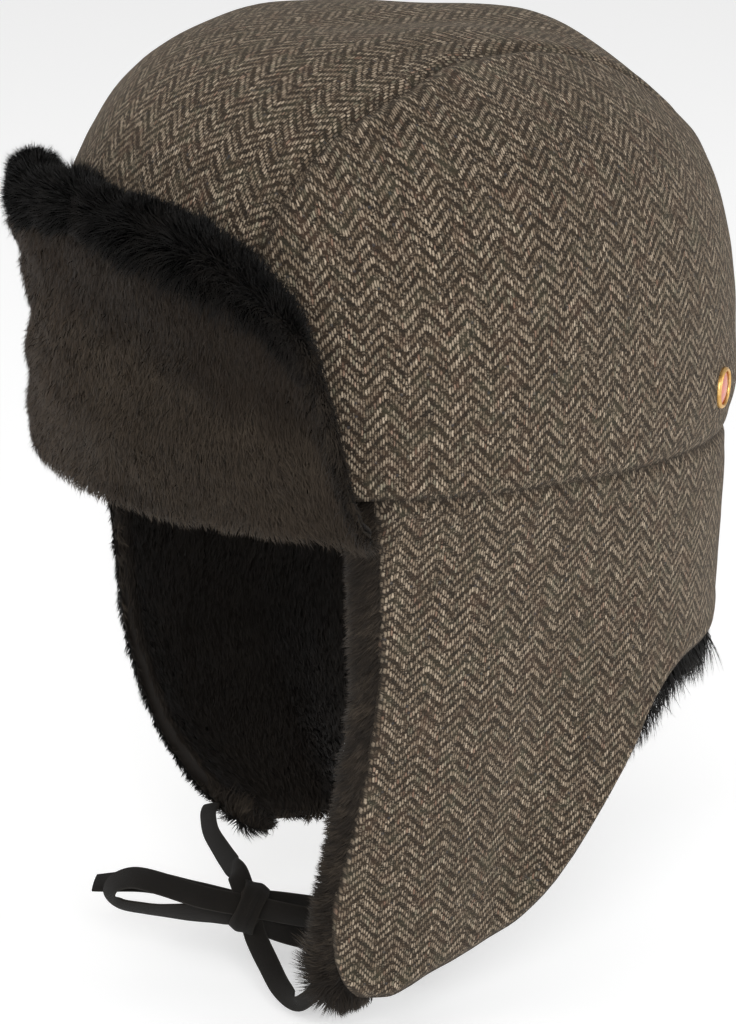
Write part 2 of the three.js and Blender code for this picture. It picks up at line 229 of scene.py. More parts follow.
def turned_to(normal, way):
    """Normals, each turned round where it looks away from its own way."""
    return normal * np.sign((normal * way).sum(-1, keepdims=True))


def noise(points, size, seed):
    """Smooth noise from -1 to 1 that belongs to a place in space."""
    place = np.asarray(points, float) / size + seed * 7.31
    cell = np.floor(place).astype(np.int64)
    part = place - cell
    part = part * part * (3 - 2 * part)
    total = 0
    for corner in itertools.product((0, 1), repeat=3):
        key = (cell + corner) @ np.array([374761393, 668265263, 1442695041]) + seed * 974711
        key &= 0xFFFFFFFF
        key = ((key ^ (key >> 13)) * 1274126177) & 0xFFFFFFFF
        value = (key ^ (key >> 16)) / 2**31 - 1
        total = total + value * np.where(corner, part, 1 - part).prod(-1)
    return total


def eased(count, share=0.75):
    """Shares from 0 to 1 that come closer together towards both ends."""
    s = np.linspace(0, 1, count + 1)
    return (1 - share) * s + share * (0.5 - 0.5 * np.cos(np.pi * s))


# ---------------- surfaces of the hat

def plan_radius(azimuth):
    a = np.radians(azimuth)
    reach = np.where(np.cos(a) > 0, FRONT_REACH, BACK_REACH)
    side = (np.abs(np.sin(a)) / HALF_WIDTH) ** PLAN_POWER
    ahead = (np.abs(np.cos(a)) / reach) ** PLAN_POWER
    return (side + ahead) ** (-1 / PLAN_POWER)


def polar(azimuth, radius, z):
    a = np.radians(azimuth)
    x, y, z = np.broadcast_arrays(radius * np.sin(a), -radius * np.cos(a), z)
    return np.stack([x, y, z], -1)


def crown_point(azimuth, lift, inset=0.0):
    """A point on the dome: lift runs from 0 at the seam to 1 at the top."""
    a = np.abs(azimuth)
    power = 2 / square(a)
    lift = np.clip(lift, 0, 1)
    out = np.clip(np.cos(lift * np.pi / 2), 0, 1) ** power
    up = np.sin(lift * np.pi / 2) ** power
    radius = (plan_radius(azimuth) - inset) * out + bulge(a) * np.sin(lift * np.pi)
    bottom = seam_height(a)
    return polar(azimuth, np.maximum(radius, 0), bottom + (CROWN_HEIGHT - inset - bottom) * up)


# Equal steps of arc up each meridian, as lifts, for azimuths two degrees apart
ARC_AZIMUTHS = np.linspace(0, 180, 91)
ARC_SHARES = np.linspace(0, 1, 241)
FINE_LIFTS = 0.5 - 0.5 * np.cos(np.pi * np.linspace(0, 1, 600))


def arc_tables():
    lifts, lengths = [], []
    for azimuth in ARC_AZIMUTHS:
        points = crown_point(azimuth, FINE_LIFTS)
        run = arc_length(points)
        lifts.append(np.interp(ARC_SHARES, run / run[-1], FINE_LIFTS))
        lengths.append(run[-1])
    return np.array(lifts), np.array(lengths)


ARC_LIFTS, ARC_LENGTHS = arc_tables()


def lift_at(azimuth, share):
    i = np.abs(azimuth) / 180 * (len(ARC_AZIMUTHS) - 1)
    j = np.clip(share, 0, 1) * (len(ARC_SHARES) - 1)
    i0 = np.clip(np.floor(i).astype(int), 0, len(ARC_AZIMUTHS) - 2)
    j0 = np.clip(np.floor(j).astype(int), 0, len(ARC_SHARES) - 2)
    fi, fj = i - i0, j - j0
    low = ARC_LIFTS[i0, j0] * (1 - fj) + ARC_LIFTS[i0, j0 + 1] * fj
    high = ARC_LIFTS[i0 + 1, j0] * (1 - fj) + ARC_LIFTS[i0 + 1, j0 + 1] * fj
    return low * (1 - fi) + high * fi


def crown_at(azimuth, share, inset=0.0):
    return crown_point(azimuth, lift_at(azimuth, share), inset)


def crown_disc(x, y):
    """The dome from above: the disc's edge is the seam, its middle is the top."""
    return crown_at(np.degrees(np.arctan2(x, -y)), 1 - np.hypot(x, y))


def crown_normal(x, y):
    """Its normal, from small steps in the disc that stay inside it."""
    size = np.hypot(x, y)
    inside = np.where(size > 0.99, 0.99 / np.maximum(size, 1e-9), 1)
    x, y = x * inside, y * inside
    step = 0.006
    dx = crown_disc(x + step, y) - crown_disc(x - step, y)
    dy = crown_disc(x, y + step) - crown_disc(x, y - step)
    return unit(np.cross(dx, dy))


def seam_off(azimuth, share):
    """How far outside the centre panel a point of the dome is, seen from above."""
    point = crown_at(azimuth, share)
    return np.abs(point[..., 0]) - panel_half(point[..., 1])


def halved(test, low, high, passes=40):
    """Where test changes from positive at low to negative at high."""
    low, high = np.array(low, float), np.array(high, float)
    for _ in range(passes):
        middle = (low + high) / 2
        positive = test(middle) > 0
        low, high = np.where(positive, middle, low), np.where(positive, high, middle)
    return (low + high) / 2


SEAM_FRONT = float(halved(lambda a: -seam_off(a, 0.0), 10.0, 80.0))
SEAM_BACK = float(halved(lambda a: seam_off(a, 0.0), 100.0, 179.0))


def seam_share(azimuth):
    """How far up its meridian the panel seam runs, for azimuths from front to back."""
    return halved(lambda s: seam_off(azimuth, s), np.zeros_like(azimuth), np.ones_like(azimuth))


PLAN_AZIMUTHS = np.linspace(0, 180, 721)
PLAN_ARCS = arc_length(polar(PLAN_AZIMUTHS, plan_radius(PLAN_AZIMUTHS), 0))


def plan_arc(azimuth):
    return np.interp(azimuth, PLAN_AZIMUTHS, PLAN_ARCS)


def lower_drop(side, azimuth):
    return lower_right(azimuth) if side == RIGHT else lower_left(azimuth)


def flap_face(side, azimuth, drop):
    curl = smoothstep(150 - azimuth, 0, 62) * (side == RIGHT)
    radius = plan_radius(azimuth) - lean(azimuth) * drop - curl * curl_inward(drop)
    return polar(side * azimuth, radius, seam_height(azimuth) - drop + curl * curl_raise(drop))


def flap_normal(side, azimuth, drop):
    around = flap_face(side, azimuth + 1, drop) - flap_face(side, azimuth - 1, drop)
    down = flap_face(side, azimuth, drop + 1) - flap_face(side, azimuth, np.maximum(0, drop - 1))
    normal = unit(np.cross(down, around) * side)
    normal[..., 2] *= smoothstep(drop, 0, 60)
    return unit(normal)


def flap_shares(side, u, t, reach):
    """Azimuth and drop from shares: u from front to back, t downwards. The front edge lies
    reach degrees ahead of the cloth's own."""
    u, t = np.broadcast_arrays(np.asarray(u, float), np.asarray(t, float))
    drop = np.zeros_like(t)
    for _ in range(8):
        front = front_azimuth(drop) - reach
        azimuth = front + (180 - front) * u**1.3
        drop = t * lower_drop(side, azimuth + reach * (1 - u))
    return azimuth, drop


# ---------------- meshes

def add_piece(name, mesh, material, nodes):
    """The object of a mesh, with what it is to the frame."""
    mesh.materials.append(material)
    piece = bpy.data.objects.new(name, mesh)
    bpy.context.scene.collection.objects.link(piece)
    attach(piece, "root")
    if nodes:
        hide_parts(*nodes)
    return piece


def mark(mesh, key, values):
    """Three numbers for each point of a mesh, which a material reads by name."""
    values = np.asarray(values, np.float32).ravel()
    mesh.attributes.new(key, "FLOAT_VECTOR", "POINT").data.foreach_set("vector", values)


def mesh_piece(name, points, faces, material, node, sharp, marks=()):
    """A piece in the hat's frame from points in millimetres."""
    mesh = bpy.data.meshes.new(name)
    mesh.from_pydata((np.asarray(points) * MM).tolist(), [], [list(f) for f in faces])
    if marks:
        mark(mesh, *marks)
    work = bmesh.new()
    work.from_mesh(mesh)
    bmesh.ops.remove_doubles(work, verts=work.verts, dist=2e-6)
    bmesh.ops.dissolve_degenerate(work, edges=work.edges, dist=1e-6)
    work.to_mesh(mesh)
    work.free()
    mesh.shade_smooth()
    mesh.set_sharp_from_angle(angle=math.radians(sharp))
    return add_piece(name, mesh, material, [node])


def volume(points, faces):
    """Six times the volume inside a closed mesh, negative if its faces point in."""
    total = 0.0
    for k in range(1, faces.shape[1] - 1):
        a, b, c = points[faces[:, 0]], points[faces[:, k]], points[faces[:, k + 1]]
        total += float(np.einsum("ij,ij->i", a, np.cross(b, c)).sum())
    return total


def quads(at, closed=False):
    """Faces between neighbours in a grid; a closed grid's last column meets its first."""
    if closed:
        at = np.concatenate([at, at[:, :1]], 1)
    return np.stack([at[:-1, :-1], at[:-1, 1:], at[1:, 1:], at[1:, :-1]], -1).reshape(-1, 4)


def wall(outer, inner):
    """Points and quads of a closed wall between two grids of points."""
    rows, columns = outer.shape[:2]
    at = np.arange(rows * columns).reshape(rows, columns)
    face = quads(at)
    rim = np.concatenate([at[0, :-1], at[:-1, -1], at[-1, :0:-1], at[:0:-1, 0]])
    after = np.roll(rim, -1)
    under = rows * columns
    border = np.stack([after, rim, rim + under, after + under], -1)
    faces = np.concatenate([face, face[:, ::-1] + under, border])
    points = np.concatenate([outer.reshape(-1, 3), inner.reshape(-1, 3)])
    if volume(points, faces) < 0:
        faces = faces[:, ::-1]
    return points, faces


# ---------------- materials

class Value:
    """A number or colour that a node gives; sums with it make more nodes."""

    def __init__(self, look, socket):
        self.look = look
        self.socket = socket

    def __add__(self, other):
        return self.look.math("ADD", self, other)

    def __sub__(self, other):
        return self.look.math("SUBTRACT", self, other)

    def __rsub__(self, other):
        return self.look.math("SUBTRACT", other, self)

    def __mul__(self, other):
        return self.look.math("MULTIPLY", self, other)

    def __truediv__(self, other):
        return self.look.math("DIVIDE", self, other)


class Look:
    """One material, with short calls for its nodes."""

    def __init__(self, name):
        self.material = bpy.data.materials.new(name)
        self.material.use_nodes = True
        self.tree = self.material.node_tree

    def finish(self, sockets):
        """The material, with these values on its shader's sockets."""
        shader = self.tree.nodes["Principled BSDF"]
        for name, value in sockets.items():
            self.feed(shader.inputs[name], value)
        return self.material

    def feed(self, socket, value):
        if isinstance(value, Value):
            self.tree.links.new(value.socket, socket)
        else:
            socket.default_value = value

    def node(self, kind, inputs, output=0, **settings):
        node = self.tree.nodes.new("ShaderNode" + kind)
        for key, value in settings.items():
            setattr(node, key, value)
        for key, value in inputs.items():
            self.feed(node.inputs[key], value)
        return Value(self, node.outputs[output])

    def math(self, kind, *values):
        return self.node("Math", dict(enumerate(values)), operation=kind)

    def floor(self, value):
        return self.math("FLOOR", value)

    def marked(self, name):
        """The three numbers that a piece holds for each of its points."""
        return self.node("Attribute", {}, "Vector", attribute_name=name)

    def place(self):
        return self.node("TexCoord", {}, "Object")

    def split(self, vector):
        node = self.node("SeparateXYZ", {0: vector}).socket.node
        return [Value(self, part) for part in node.outputs]

    def join(self, x, y, z=0.0):
        return self.node("CombineXYZ", {0: x, 1: y, 2: z})

    def noise(self, vector, scale, detail=2.0, roughness=0.5):
        inputs = {"Vector": vector, "Scale": scale, "Detail": detail, "Roughness": roughness}
        return self.node("TexNoise", inputs, "Fac")

    def chance(self, x, y, z):
        """One random number for each whole-number cell of three values."""
        inputs = {"Vector": self.join(x, y, z)}
        return self.node("TexWhiteNoise", inputs, "Value", noise_dimensions="3D")

    def hump(self, value, power=2.0):
        """One in the middle, falling to nothing at a value of one on either side."""
        fall = self.math("POWER", self.math("ABSOLUTE", value), power)
        return self.math("MAXIMUM", 1.0 - fall, 0.0)

    def thread(self, value):
        """The same hump once across each whole number."""
        return self.hump(self.math("FRACT", value) * 2.0 - 1.0)

    def mix(self, share, a, b):
        return self.node("Mix", {0: share, 6: a, 7: b}, 2, data_type="RGBA")

    def bump(self, height, distance, strength=1.0):
        return self.node("Bump", {"Distance": distance, "Strength": strength, "Height": height})

    def ramp(self, share, low, high):
        return self.node("MapRange", {0: share, 1: low, 2: high})


def colour(red, green, blue):
    """A colour of 0-255 screen values as the linear one that nodes take."""
    linear = [c / 255 / 12.92 if c < 10.3 else ((c / 255 + 0.055) / 1.055) ** 2.4
              for c in (red, green, blue)]
    return (*linear, 1.0)


# The tweed: width of a warp yarn and of a pick in millimetres, yarns in a column and
# picks in a repeat. The tape: its ribs and its threads, in radians a millimetre.
YARN = 0.74
PICK = 0.77
COLUMN_YARNS = 8
REPEAT = 8.0
RIB_TURN = 2 * math.pi / 0.55
THREAD_TURN = 2 * math.pi / 0.45


def herringbone():
    """Tweed: a 2/2 herringbone of light warp over dark weft, drawn yarn by yarn."""
    n = Look("tweed")
    # the weave mark's third number is the painted shade of the seams and hems
    u, v, dark = n.split(n.marked("weave"))
    place = n.join(u, v)
    across = (u + (n.noise(place, 0.9) - 0.5) * 0.5) / YARN
    along = (v + (n.noise(n.join(v, u, 7.0), 0.8) - 0.5) * 0.6) / PICK
    yarn = n.floor(across)
    turn = n.floor(n.math("PINGPONG", yarn + 0.5, COLUMN_YARNS))
    slip = (n.chance(yarn, 5.0, 2.0) - 0.5) * 0.5
    place_on = along + turn + slip
    phase = n.math("FLOORED_MODULO", place_on, REPEAT)
    float_number = n.floor(place_on / (REPEAT / 2))
    # a bold rib and a faint one in each repeat; the faint one keeps to one side of it,
    # and to the other side in the next column
    falling = n.math("LESS_THAN", n.math("FLOORED_MODULO", yarn, 2 * COLUMN_YARNS), COLUMN_YARNS)
    faint_middle = 5.75 - falling * 1.35
    bold = n.hump((phase - 1.3) / 1.35, 2.6)
    faint = n.hump((phase - faint_middle) / 1.25, 2.2) * 0.84
    strength = n.chance(yarn, float_number, 8.0) * 0.95 + 0.36
    lifted = n.math("MAXIMUM", bold, faint) * strength
    # stray bits of warp that show between the ribs
    stray = n.ramp(n.chance(yarn, n.floor(place_on), 61.0), 0.45, 1.0) * n.thread(place_on)
    lifted = n.math("MAXIMUM", lifted, stray * 0.52) * n.thread(across)
    fuzz = n.noise(n.join(u * 2.2, v * 1.3), 1.0, 3, 0.7)
    light = n.ramp(lifted + (fuzz - 0.5) * 1.5, 0.1, 0.8)
    # colours: each float and each yarn has its own shade, with a few coloured flecks
    yarn_shade = n.chance(yarn, n.floor(float_number / 7.0), 4.0)
    warp = n.mix(n.chance(yarn, float_number, 1.0), colour(116, 100, 82), colour(186, 169, 147))
    warp = n.mix(yarn_shade * 0.35, warp, colour(110, 94, 77))
    red = n.math("GREATER_THAN", n.chance(yarn, float_number, 21.0), 0.96)
    green = n.math("GREATER_THAN", n.chance(yarn, float_number, 33.0), 0.95)
    warp = n.mix(red * 0.4, warp, colour(130, 86, 70))
    warp = n.mix(green * 0.4, warp, colour(98, 106, 88))
    weft_shade = n.chance(n.floor(across / 2.0), n.floor(along), 9.0)
    weft = n.mix(weft_shade, colour(19, 13, 6), colour(42, 31, 19))
    blue = n.math("GREATER_THAN", n.chance(yarn, n.floor(along), 47.0), 0.99)
    weft = n.mix(blue * 0.35, weft, colour(58, 64, 74))
    base = n.mix(light, weft, warp)
    # broad clouds of dirt, green and red, painted shade along the seams and hems, and fine grain
    cloudy = n.ramp(n.noise(place, 0.05, 3), 0.3, 0.7)
    base = n.mix(cloudy * 0.12, base, colour(58, 48, 38))
    tint = n.ramp(n.noise(n.join(v, u, 3.0), 0.16, 3), 0.52, 0.7)
    base = n.mix(tint * 0.14, base, colour(80, 86, 66))
    blush = n.ramp(n.noise(n.join(v, u, 31.0), 0.14, 3), 0.55, 0.72)
    base = n.mix(blush * 0.14, base, colour(96, 66, 54))
    # painted shade: the cloth is darkened along seams and hems
    base = n.mix(dark * 0.8, base, colour(20, 15, 10))
    grain = n.ramp(n.noise(place, 1.6, 3, 0.7), 0.35, 0.75)
    base = n.mix(grain * 0.3, base, colour(30, 24, 18))
    height = lifted * 0.75 + n.thread(along) * 0.2 + fuzz * 0.45
    return n.finish({
        "Base Color": base, "Normal": n.bump(height, 0.00032), "Roughness": 0.93,
        "Specular IOR Level": 0.25, "Sheen Weight": 0.12, "Sheen Roughness": 0.6,
        "Sheen Tint": colour(200, 185, 165),
    })


def fur_material(name, root, body, tip):
    """Fur: each strand carries its tone, its own random number and its warmth."""
    n = Look(name)
    tone, chance, warm = n.split(n.marked("strand"))
    base = n.mix(n.ramp(tone, 0.0, 0.5), root, body)
    base = n.mix(n.ramp(tone, 0.5, 1.0), base, tip)
    base = n.mix(chance * 0.35, base, root)
    base = n.mix(warm * 0.5, base, colour(74, 58, 44))
    return n.finish({
        "Base Color": base, "Normal": n.bump(n.noise(n.place(), 900), 0.0003, 0.4),
        "Roughness": 0.65, "Specular IOR Level": 0.13, "Sheen Weight": 0.03,
    })


def tape_material():
    """Woven tape: fine ribs across it, a selvedge at each edge, slightly worn."""
    n = Look("ribbon")
    place = n.marked("tape")
    along, across, _ = n.split(place)
    weave = n.math("SINE", along * RIB_TURN) * n.math("SINE", across * THREAD_TURN)
    base = n.mix(n.ramp(weave, -1.0, 1.0), colour(8, 6, 4), colour(21, 17, 12))
    worn = n.ramp(n.noise(place, 0.35, 3), 0.35, 0.7)
    base = n.mix(worn * 0.5, base, colour(20, 16, 11))
    edge = n.ramp(n.math("ABSOLUTE", across), 3.0, 3.6)
    base = n.mix(edge * 0.45, base, colour(34, 29, 22))
    height = weave + n.noise(place, 1.2) * 0.8
    return n.finish({
        "Base Color": base, "Normal": n.bump(height, 0.00012), "Roughness": 0.8,
        "Specular IOR Level": 0.15, "Sheen Weight": 0.05,
    })


TWEED = herringbone()
TAPE = tape_material()
LINING_FUR = fur_material("lining_fur", colour(8, 5, 3), colour(36, 30, 24), colour(82, 72, 60))
FACE_FUR = fur_material("front_fur", colour(15, 12, 8), colour(69, 61, 51), colour(112, 101, 87))
ROLL_FUR = fur_material("roll_fur", colour(5, 4, 3), colour(24, 19, 15), colour(56, 48, 39))


# ---------------- the bow and its ribbons

ACROSS = np.array([math.cos(BOW_TURN), math.sin(BOW_TURN), 0])
OUT = np.array([
    math.sin(BOW_TURN) * math.cos(BOW_TILT), -math.cos(BOW_TURN) * math.cos(BOW_TILT),
    math.sin(BOW_TILT),
])
UP = np.cross(OUT, ACROSS)


def bow_point(across, up, out):
    return KNOT + np.multiply.outer(across, ACROSS) + np.multiply.outer(up, UP) \
        + np.multiply.outer(out, OUT)


def spline(points, per_row):
    """A smooth line through points, closer where asked, with their other columns."""
    rows = np.array(points, float)
    ends = np.concatenate([[2 * rows[0] - rows[1]], rows, [2 * rows[-1] - rows[-2]]])
    line = []
    for i in range(len(rows) - 1):
        a, b, c, d = ends[i:i + 4]
        for s in np.arange(per_row) / per_row:
            line.append(0.5 * (2 * b + (c - a) * s + (2 * a - 5 * b + 4 * c - d) * s**2
                               + (3 * b - a - 3 * c + d) * s**3))
    line.append(rows[-1])
    return np.array(line)


KNOT_REACH = 12


def ribbon_frame(rows, per_row=10):
    """Centreline, side and face directions of a ribbon along its route."""
    line = spline(rows, per_row)
    middle = bow_point(line[:, 0], line[:, 1], line[:, 2])
    along = unit(np.gradient(middle, axis=0))
    side = unit(np.cross(along, OUT))
    for i in range(1, len(side)):
        if side[i] @ side[i - 1] < 0:
            side[i] = -side[i]
    twist = np.radians(line[:, 3])[:, None]
    side = unit(side * np.cos(twist) + np.cross(along, side) * np.sin(twist))
    return middle, side, unit(np.cross(side, along))


def tucked(rows):
    """The route with one more point inside the knot at each end that meets it."""
    first, last = (
        [(*(0.12 * value for value in row[:3]), row[3])]
        if np.linalg.norm(row[:3]) < KNOT_REACH else []
        for row in (rows[0], rows[-1])
    )
    return first + rows + last


def make_ribbon(name, far_end, lay, rows):
    middle, side, face = ribbon_frame(tucked(rows))
    run = arc_length(middle)
    # the section: a flat tape with rounded edges, slightly cupped, closed all round
    profile = [(-1, 0), (-0.93, 0.9), (-0.5, 1), (0, 1), (0.5, 1), (0.93, 0.9),
               (1, 0), (0.93, -0.9), (0.5, -1), (0, -1), (-0.5, -1), (-0.93, -0.9)]
    width = RIBBON_WIDTH / 2 * (1 - 0.05 * (1 + noise(middle, 14, 3)))
    rings, marks = [], []
    for w, h in profile:
        cup = 0.55 * (1 - w * w) + 0.25 * noise(middle + w * 3, 9, 5)
        high = h * RIBBON_THICKNESS * 0.42 + cup - 0.3
        rings.append(middle + side * (w * width)[:, None] + face * high[:, None])
        marks.append(np.stack([run, w * RIBBON_WIDTH / 2 + 0 * run, h + 0 * run], -1))
    points = np.stack(rings, 1).reshape(-1, 3)
    tape = np.stack(marks, 1).reshape(-1, 3)
    count, steps = len(profile), len(middle)
    faces = quads(np.arange(steps * count).reshape(steps, count), closed=True).tolist()
    for end, flip in ((0, 1), ((steps - 1) * count, -1)):
        for k in range(count // 2 - 1):
            quad = (end + k, end + k + 1, end + count - 2 - k, end + count - 1 - k)
            faces.append(quad[::flip])
    piece = mesh_piece(f"{name}_tape", points, faces, TAPE, name, 40, ("tape", tape))
    work = bmesh.new()
    work.from_mesh(piece.data)
    bmesh.ops.recalc_face_normals(work, faces=work.faces)
    work.to_mesh(piece.data)
    work.free()
    path = middle[::-1] if name == "tie_left" else middle
    tuple((path[0] * MM).tolist())
    (path * MM).tolist()


for ribbon, facts in RIBBONS.items():
    make_ribbon(ribbon, *facts)


def superpower(value, power):
    return np.sign(value) * np.abs(value) ** power


KNOT_LEAN = math.radians(20)
# Half sizes of the knot's turn of tape, along it and out from it
KNOT_LONG = 8.3
KNOT_DEEP = 3.9
# Half sizes of the bundle inside it, across, out and along
BUNDLE = (4.3, 2.9, 7.4)


def leant(across, along):
    """Across and up in the bow's axes, for a knot that leans."""
    return (across * math.cos(KNOT_LEAN) + along * math.sin(KNOT_LEAN),
            along * math.cos(KNOT_LEAN) - across * math.sin(KNOT_LEAN))


def gathered(around, up):
    """The ribbons bunched together inside the knot: a pleated bundle, closed."""
    turn = np.linspace(0, 2 * np.pi, around, endpoint=False)
    rise = np.linspace(-0.5 * np.pi, 0.5 * np.pi, up + 1)[1:-1]
    a, r = np.meshgrid(turn, rise)
    wide = superpower(np.cos(r), 0.5)
    pleat = 1 + 0.06 * np.sin(7 * a)
    x, z = leant(BUNDLE[0] * wide * np.cos(a) * pleat, BUNDLE[2] * np.sin(r))
    ends = np.array([-BUNDLE[2], BUNDLE[2]])
    points = np.concatenate([
        bow_point(x, z, BUNDLE[1] * wide * np.sin(a) * pleat).reshape(-1, 3),
        bow_point(*leant(0 * ends, ends), 0 * ends),
    ])
    at = np.arange((up - 1) * around).reshape(up - 1, around)
    faces = quads(at, closed=True)
    inward = volume(points, faces) < 0
    low, high = len(points) - 2, len(points) - 1
    after = np.roll(at, -1, axis=1)
    faces = faces.tolist()
    faces += [(k, j, low) for j, k in zip(at[0].tolist(), after[0].tolist())]
    faces += [(j, k, high) for j, k in zip(at[-1].tolist(), after[-1].tolist())]
    return points, [face[::-1] for face in faces] if inward else faces


def make_knot():
    """The knot: one turn of tape round the gathered ribbons, leaning a little, creased."""
    steps, count = 96, 24
    turn = np.linspace(0, 2 * np.pi, steps, endpoint=False)
    a, w = np.meshgrid(turn, np.linspace(-1, 1, count), indexing="ij")
    pinch = 1 - 0.07 * np.abs(w) ** 3
    crease = 0.22 * np.sin(w * 7 + 0.6 * np.sin(a)) * np.abs(np.sin(a))
    crease = crease - 0.5 * bell(w, 0.09, 0.42) * np.abs(np.sin(a))
    deep = KNOT_DEEP * superpower(np.sin(a), 0.85) * pinch * (1 + crease * 0.16)
    across = 4.1 * w * (1 - 0.1 * np.sin(a) ** 2) + 0.25 * np.sin(2 * a)
    rise = KNOT_LONG * superpower(np.cos(a), 0.8) * pinch + 0.2 * np.sin(w * 5)
    x, z = leant(across, rise)
    shrink = 1 - RIBBON_THICKNESS / 4.5
    outer, inner = bow_point(x, z, deep), bow_point(x * 0.98, z * shrink, deep * shrink)
    under = steps * count
    at = np.arange(under).reshape(steps, count)
    face = quads(at.T, closed=True)
    low, high = at[:, 0], at[:, -1]
    low_on, high_on = np.roll(low, -1), np.roll(high, -1)
    faces = np.concatenate([
        face, face[:, ::-1] + under,
        np.stack([low, low + under, low_on + under, low_on], -1),
        np.stack([high, high_on, high_on + under, high + under], -1),
    ])
    points = np.concatenate([outer.reshape(-1, 3), inner.reshape(-1, 3)])
    if volume(points, faces) < 0:
        faces = faces[:, ::-1]
    tape = np.stack([7.0 * a.ravel(), w.ravel() * 3.7, 0 * a.ravel()], -1)
    heart, heart_faces = gathered(24, 12)
    faces = faces.tolist() + [tuple(k + len(points) for k in face) for face in heart_faces]
    tape = np.concatenate([tape, tape, heart * 0.9])
    points = np.concatenate([points, heart])
    mesh_piece("bow_knot_tape", points, faces, TAPE, "bow_knot", 50, ("tape", tape))


make_knot()


# ---------------- the tweed

SEAM_DEPTH = 1.25
SEAM_WIDTH = 1.5
# How far the painted shade reaches from a seam, and from a hem
SEAM_SHADE = 1.1
HEM_SHADE = 1.7
# Where in the cloth each panel is cut, so that their weaves don't line up
SIDE_CUT = (500, 500)
CENTRE_CUT = (1506.4, 900)
FLAP_CUT = (2503.1, 702.3)


def valley(distance, points, seed):
    """How a seam pulls the cloth in: a groove, a low swell beside it, small puckers."""
    groove = -SEAM_DEPTH * bell(distance, SEAM_WIDTH)
    swell = 0.4 * bell(distance, 2.2, 4.2)
    pucker = 0.34 * noise(points, 6.5, seed) * bell(distance, 7)
    return groove + swell + pucker * smoothstep(distance, 0, 1.5)


def painted_rim_shade(points, distance):
    """Painted shade along the seam round the brow, patchy."""
    return (0.72 + 0.25 * noise(points, 6, 81)) * bell(distance, SEAM_SHADE)


# Soft swells and hollows of the crown: azimuth, share of the way up, reach, height
SWELLS = [
    (171, 0.72, 22, 2.9), (154, 0.42, 18, 1.3), (-35, 0.5, 24, -1.0),
    (-150, 0.84, 20, -1.1), (-64, 0.79, 12, 0.8),
]


def soft_form(points, keep):
    """The slow unevenness of soft cloth."""
    slow = 0.6 * noise(points, 48, 11) + 0.35 * noise(points, 21, 12)
    return (slow + 0.1 * noise(points, 8, 13)) * keep


def swells(points):
    total = 0
    for azimuth, share, reach, height in SWELLS:
        middle = crown_at(np.array(float(azimuth)), np.array(share))
        off = np.linalg.norm(points - middle, axis=-1)
        total = total + height * bell(off, reach)
    return total


def nape_pinch(azimuth, off):
    """The crown is drawn in along the seam round the back, and bellies out above it."""
    drawn = 1.4 * bell(off, 9, 16) - 1.2 * bell(off, 6)
    return drawn * smoothstep(np.abs(azimuth), 100, 130)


def top_ridge(points):
    """A low ridge to the left of the crown's middle, and the hollow beside it."""
    x, y = points[..., 0], points[..., 1]
    ridge = 1.7 * bell(x, 9, 37) - 2.4 * bell(x - 14 - y / 5, 11)
    return ridge * bell(y, 34) * smoothstep(points[..., 2], 80, 105)


def crown_cloth(azimuth, share):
    """Outer and inner points of the crown's cloth, seams and all, and the painted shade along its
    seams.
    """
    x = (1 - share) * np.sin(np.radians(azimuth))
    y = -(1 - share) * np.cos(np.radians(azimuth))
    point = crown_at(azimuth, share)
    normal = crown_normal(x, y)
    length = np.interp(np.abs(azimuth), ARC_AZIMUTHS, ARC_LENGTHS)
    rim = share * length
    normal[..., 2] *= smoothstep(rim, -1, 14)
    normal = unit(normal)
    slope = panel_half(point[..., 1] + 0.5) - panel_half(point[..., 1] - 0.5)
    gradient = np.stack([np.sign(point[..., 0]), -slope, np.zeros_like(slope)], -1)
    tangent = gradient - normal * (gradient * normal).sum(-1, keepdims=True)
    off = np.abs(np.abs(point[..., 0]) - panel_half(point[..., 1]))
    seam = off / np.maximum(np.linalg.norm(tangent, axis=-1), 0.15)
    relief = valley(seam, point, 3) + valley(rim, point, 4)
    relief = np.maximum(relief, -1.6) + nape_pinch(azimuth, rim)
    relief = relief + soft_form(point, smoothstep(rim, 0, 25) * 0.8)
    relief = relief + swells(point) * smoothstep(rim, 0, 15) + top_ridge(point)
    outer = point + normal * relief[..., None]
    # painted shade in the seam grooves and along the brow seam
    dark = np.maximum(0.5 * bell(seam, SEAM_SHADE), painted_rim_shade(point, rim))
    return outer, outer - normal * CLOTH, dark


def side_weave(side, azimuth, share, dark):
    """Cloth coordinates of a side panel, in millimetres: columns run up and down."""
    point = crown_at(azimuth, share)
    radius = np.hypot(point[..., 0], point[..., 1])
    u = (plan_arc(np.abs(azimuth)) - plan_arc(95)) * radius / plan_radius(azimuth)
    du, ds = np.diff(u, axis=0), np.linalg.norm(np.diff(point, axis=0), axis=-1)
    dv = np.sqrt(np.maximum(ds**2 - du**2, (0.3 * ds) ** 2))
    v = np.concatenate([np.zeros((1, u.shape[1])), np.cumsum(dv, 0)])
    # the third number carries the painted shade of the seams
    return np.stack([side * u + SIDE_CUT[0], v + SIDE_CUT[1], dark], -1)


def tweed_piece(name, outer, inner, weave):
    points, faces = wall(outer, inner)
    marks = ("weave", np.tile(weave.reshape(-1, 3), (2, 1)))
    mesh_piece(f"{name}_tweed", points, faces, TWEED, name, 60, marks)


def make_side(name, side):
    ends = eased(112, 0.6)
    azimuth = SEAM_FRONT + (SEAM_BACK - SEAM_FRONT) * ends
    top = seam_share(azimuth)
    share = np.multiply.outer(eased(60, 0.8), top)
    azimuths = np.broadcast_to(azimuth * side, share.shape)
    outer, inner, dark = crown_cloth(azimuths, share)
    tweed_piece(name, outer, inner, side_weave(side, azimuths, share, dark))


